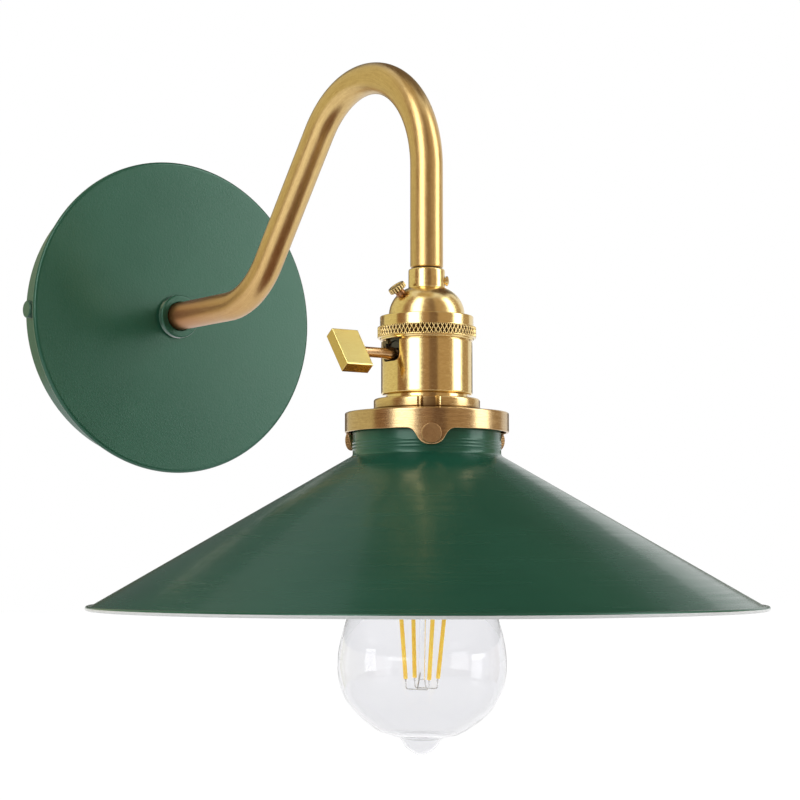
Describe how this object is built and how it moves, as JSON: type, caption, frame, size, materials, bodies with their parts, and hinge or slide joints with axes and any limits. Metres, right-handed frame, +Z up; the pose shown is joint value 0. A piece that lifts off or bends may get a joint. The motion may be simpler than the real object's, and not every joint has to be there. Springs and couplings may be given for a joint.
{
  "type": "wall sconce",
  "caption": "Wall light with a round plate, a bent brass gooseneck arm, a turn-key lampholder, a wide cone shade and a clear pear-shaped filament lamp.",
  "frame": {"origin": "centre of the wall plate's back, on the wall plane, midway between the crossbar's two slots", "axes": "+Z up along the wall, -Y out of the wall towards the room, +X to the right seen from the room; the arm lies in the plane x = 0"},
  "size_m": [0.254, 0.3396, 0.2706],
  "materials": {
    "plate_green_paint": "matt green paint",
    "shade_green_enamel": "glossy green outside, white inside and on the rolled rim",
    "satin_brass": "brushed, clear lacquered",
    "zinc_steel": "zinc plated",
    "green_ground_screw": "green dyed steel",
    "white_nylon": "moulded",
    "black_insulation": "smooth jacket",
    "white_insulation": "smooth jacket",
    "green_insulation": "smooth jacket",
    "black_phenolic": "moulded",
    "fibre_paper": "dark vulcanised fibre",
    "white_porcelain": "glazed",
    "clear_glass": "clear blown glass",
    "nickel_cap": "nickel plated",
    "black_glass": "black cast glass",
    "phosphor_coat": "yellow phosphor silicone, unlit",
    "circuit_board": "printed board"
  },
  "bodies": {
    "fixture": {"wall_plate": "plate_green_paint", "plate_collar": "plate_green_paint", "crossbar": "zinc_steel", "side_screws": "plate_green_paint", "ground_screw": "green_ground_screw", "ground_terminals": "zinc_steel", "ground_lead": "green_insulation", "arm_nipple": "zinc_steel", "nipple_lock_washer": "zinc_steel", "nipple_lock_nut": "zinc_steel", "nipple_bushing": "white_nylon", "terminal_block": "white_nylon", "terminal_block_screws": "zinc_steel", "live_lead": "black_insulation", "neutral_lead": "white_insulation", "gooseneck_arm": "satin_brass", "arm_end_nipple": "zinc_steel", "socket_cap": "satin_brass", "cap_set_screw": "satin_brass", "socket_ring": "satin_brass", "socket_body": "satin_brass", "insulating_liner": "fibre_paper", "socket_insulator": "black_phenolic", "pillar_terminals": "satin_brass", "pillar_screws": "zinc_steel", "shell_sleeve": "white_porcelain", "screw_shell": "satin_brass", "centre_contact": "satin_brass", "contact_rivets": "satin_brass", "switch_blade": "satin_brass", "lobed_collar": "satin_brass", "shade_holder": "satin_brass", "holder_ring_nut": "satin_brass", "lamp_shade": "shade_green_enamel"},
    "switch_key": {"key_spindle": "satin_brass", "key_paddle": "satin_brass", "switch_rotor": "black_phenolic"},
    "lamp": {"bulb_envelope": "clear_glass", "bulb_cap": "nickel_cap", "bulb_cap_insulator": "black_glass", "bulb_contact": "nickel_cap", "bulb_stem": "clear_glass", "led_filaments": "phosphor_coat", "filament_wires": "nickel_cap", "bulb_driver": "circuit_board"},
    "thumb_screw": {"cap_thumb_screw": "satin_brass"},
    "front_screw": {"shade_screw_1": "satin_brass"},
    "back_screw": {"shade_screw_2": "satin_brass"},
    "side_screw": {"shade_screw_3": "satin_brass"}
  },
  "joints": [
    {"name": "switch_key_turn", "type": "hinge", "parent": "fixture", "child": "switch_key", "pos_m": [0, -0.2126, -0.0341], "axis": [-1, 0, 0], "continuous": true},
    {"name": "lamp_out", "type": "slide", "parent": "fixture", "child": "lamp", "axis": [0, 0, -1], "range_m": [0, 0.1]},
    {"name": "thumb_screw_out", "type": "slide", "parent": "fixture", "child": "thumb_screw", "axis": [-0.6133, 0.0537, 0.788], "range_m": [0, 0.0039]},
    {"name": "front_screw_out", "type": "slide", "parent": "fixture", "child": "front_screw", "axis": [-0.5519, -0.8339, 0], "range_m": [0, 0.0034]},
    {"name": "back_screw_out", "type": "slide", "parent": "fixture", "child": "back_screw", "axis": [-0.4462, 0.8949, 0], "range_m": [0, 0.0034]},
    {"name": "side_screw_out", "type": "slide", "parent": "fixture", "child": "side_screw", "axis": [0.9981, -0.061, 0], "range_m": [0, 0.0034]}
  ]
}
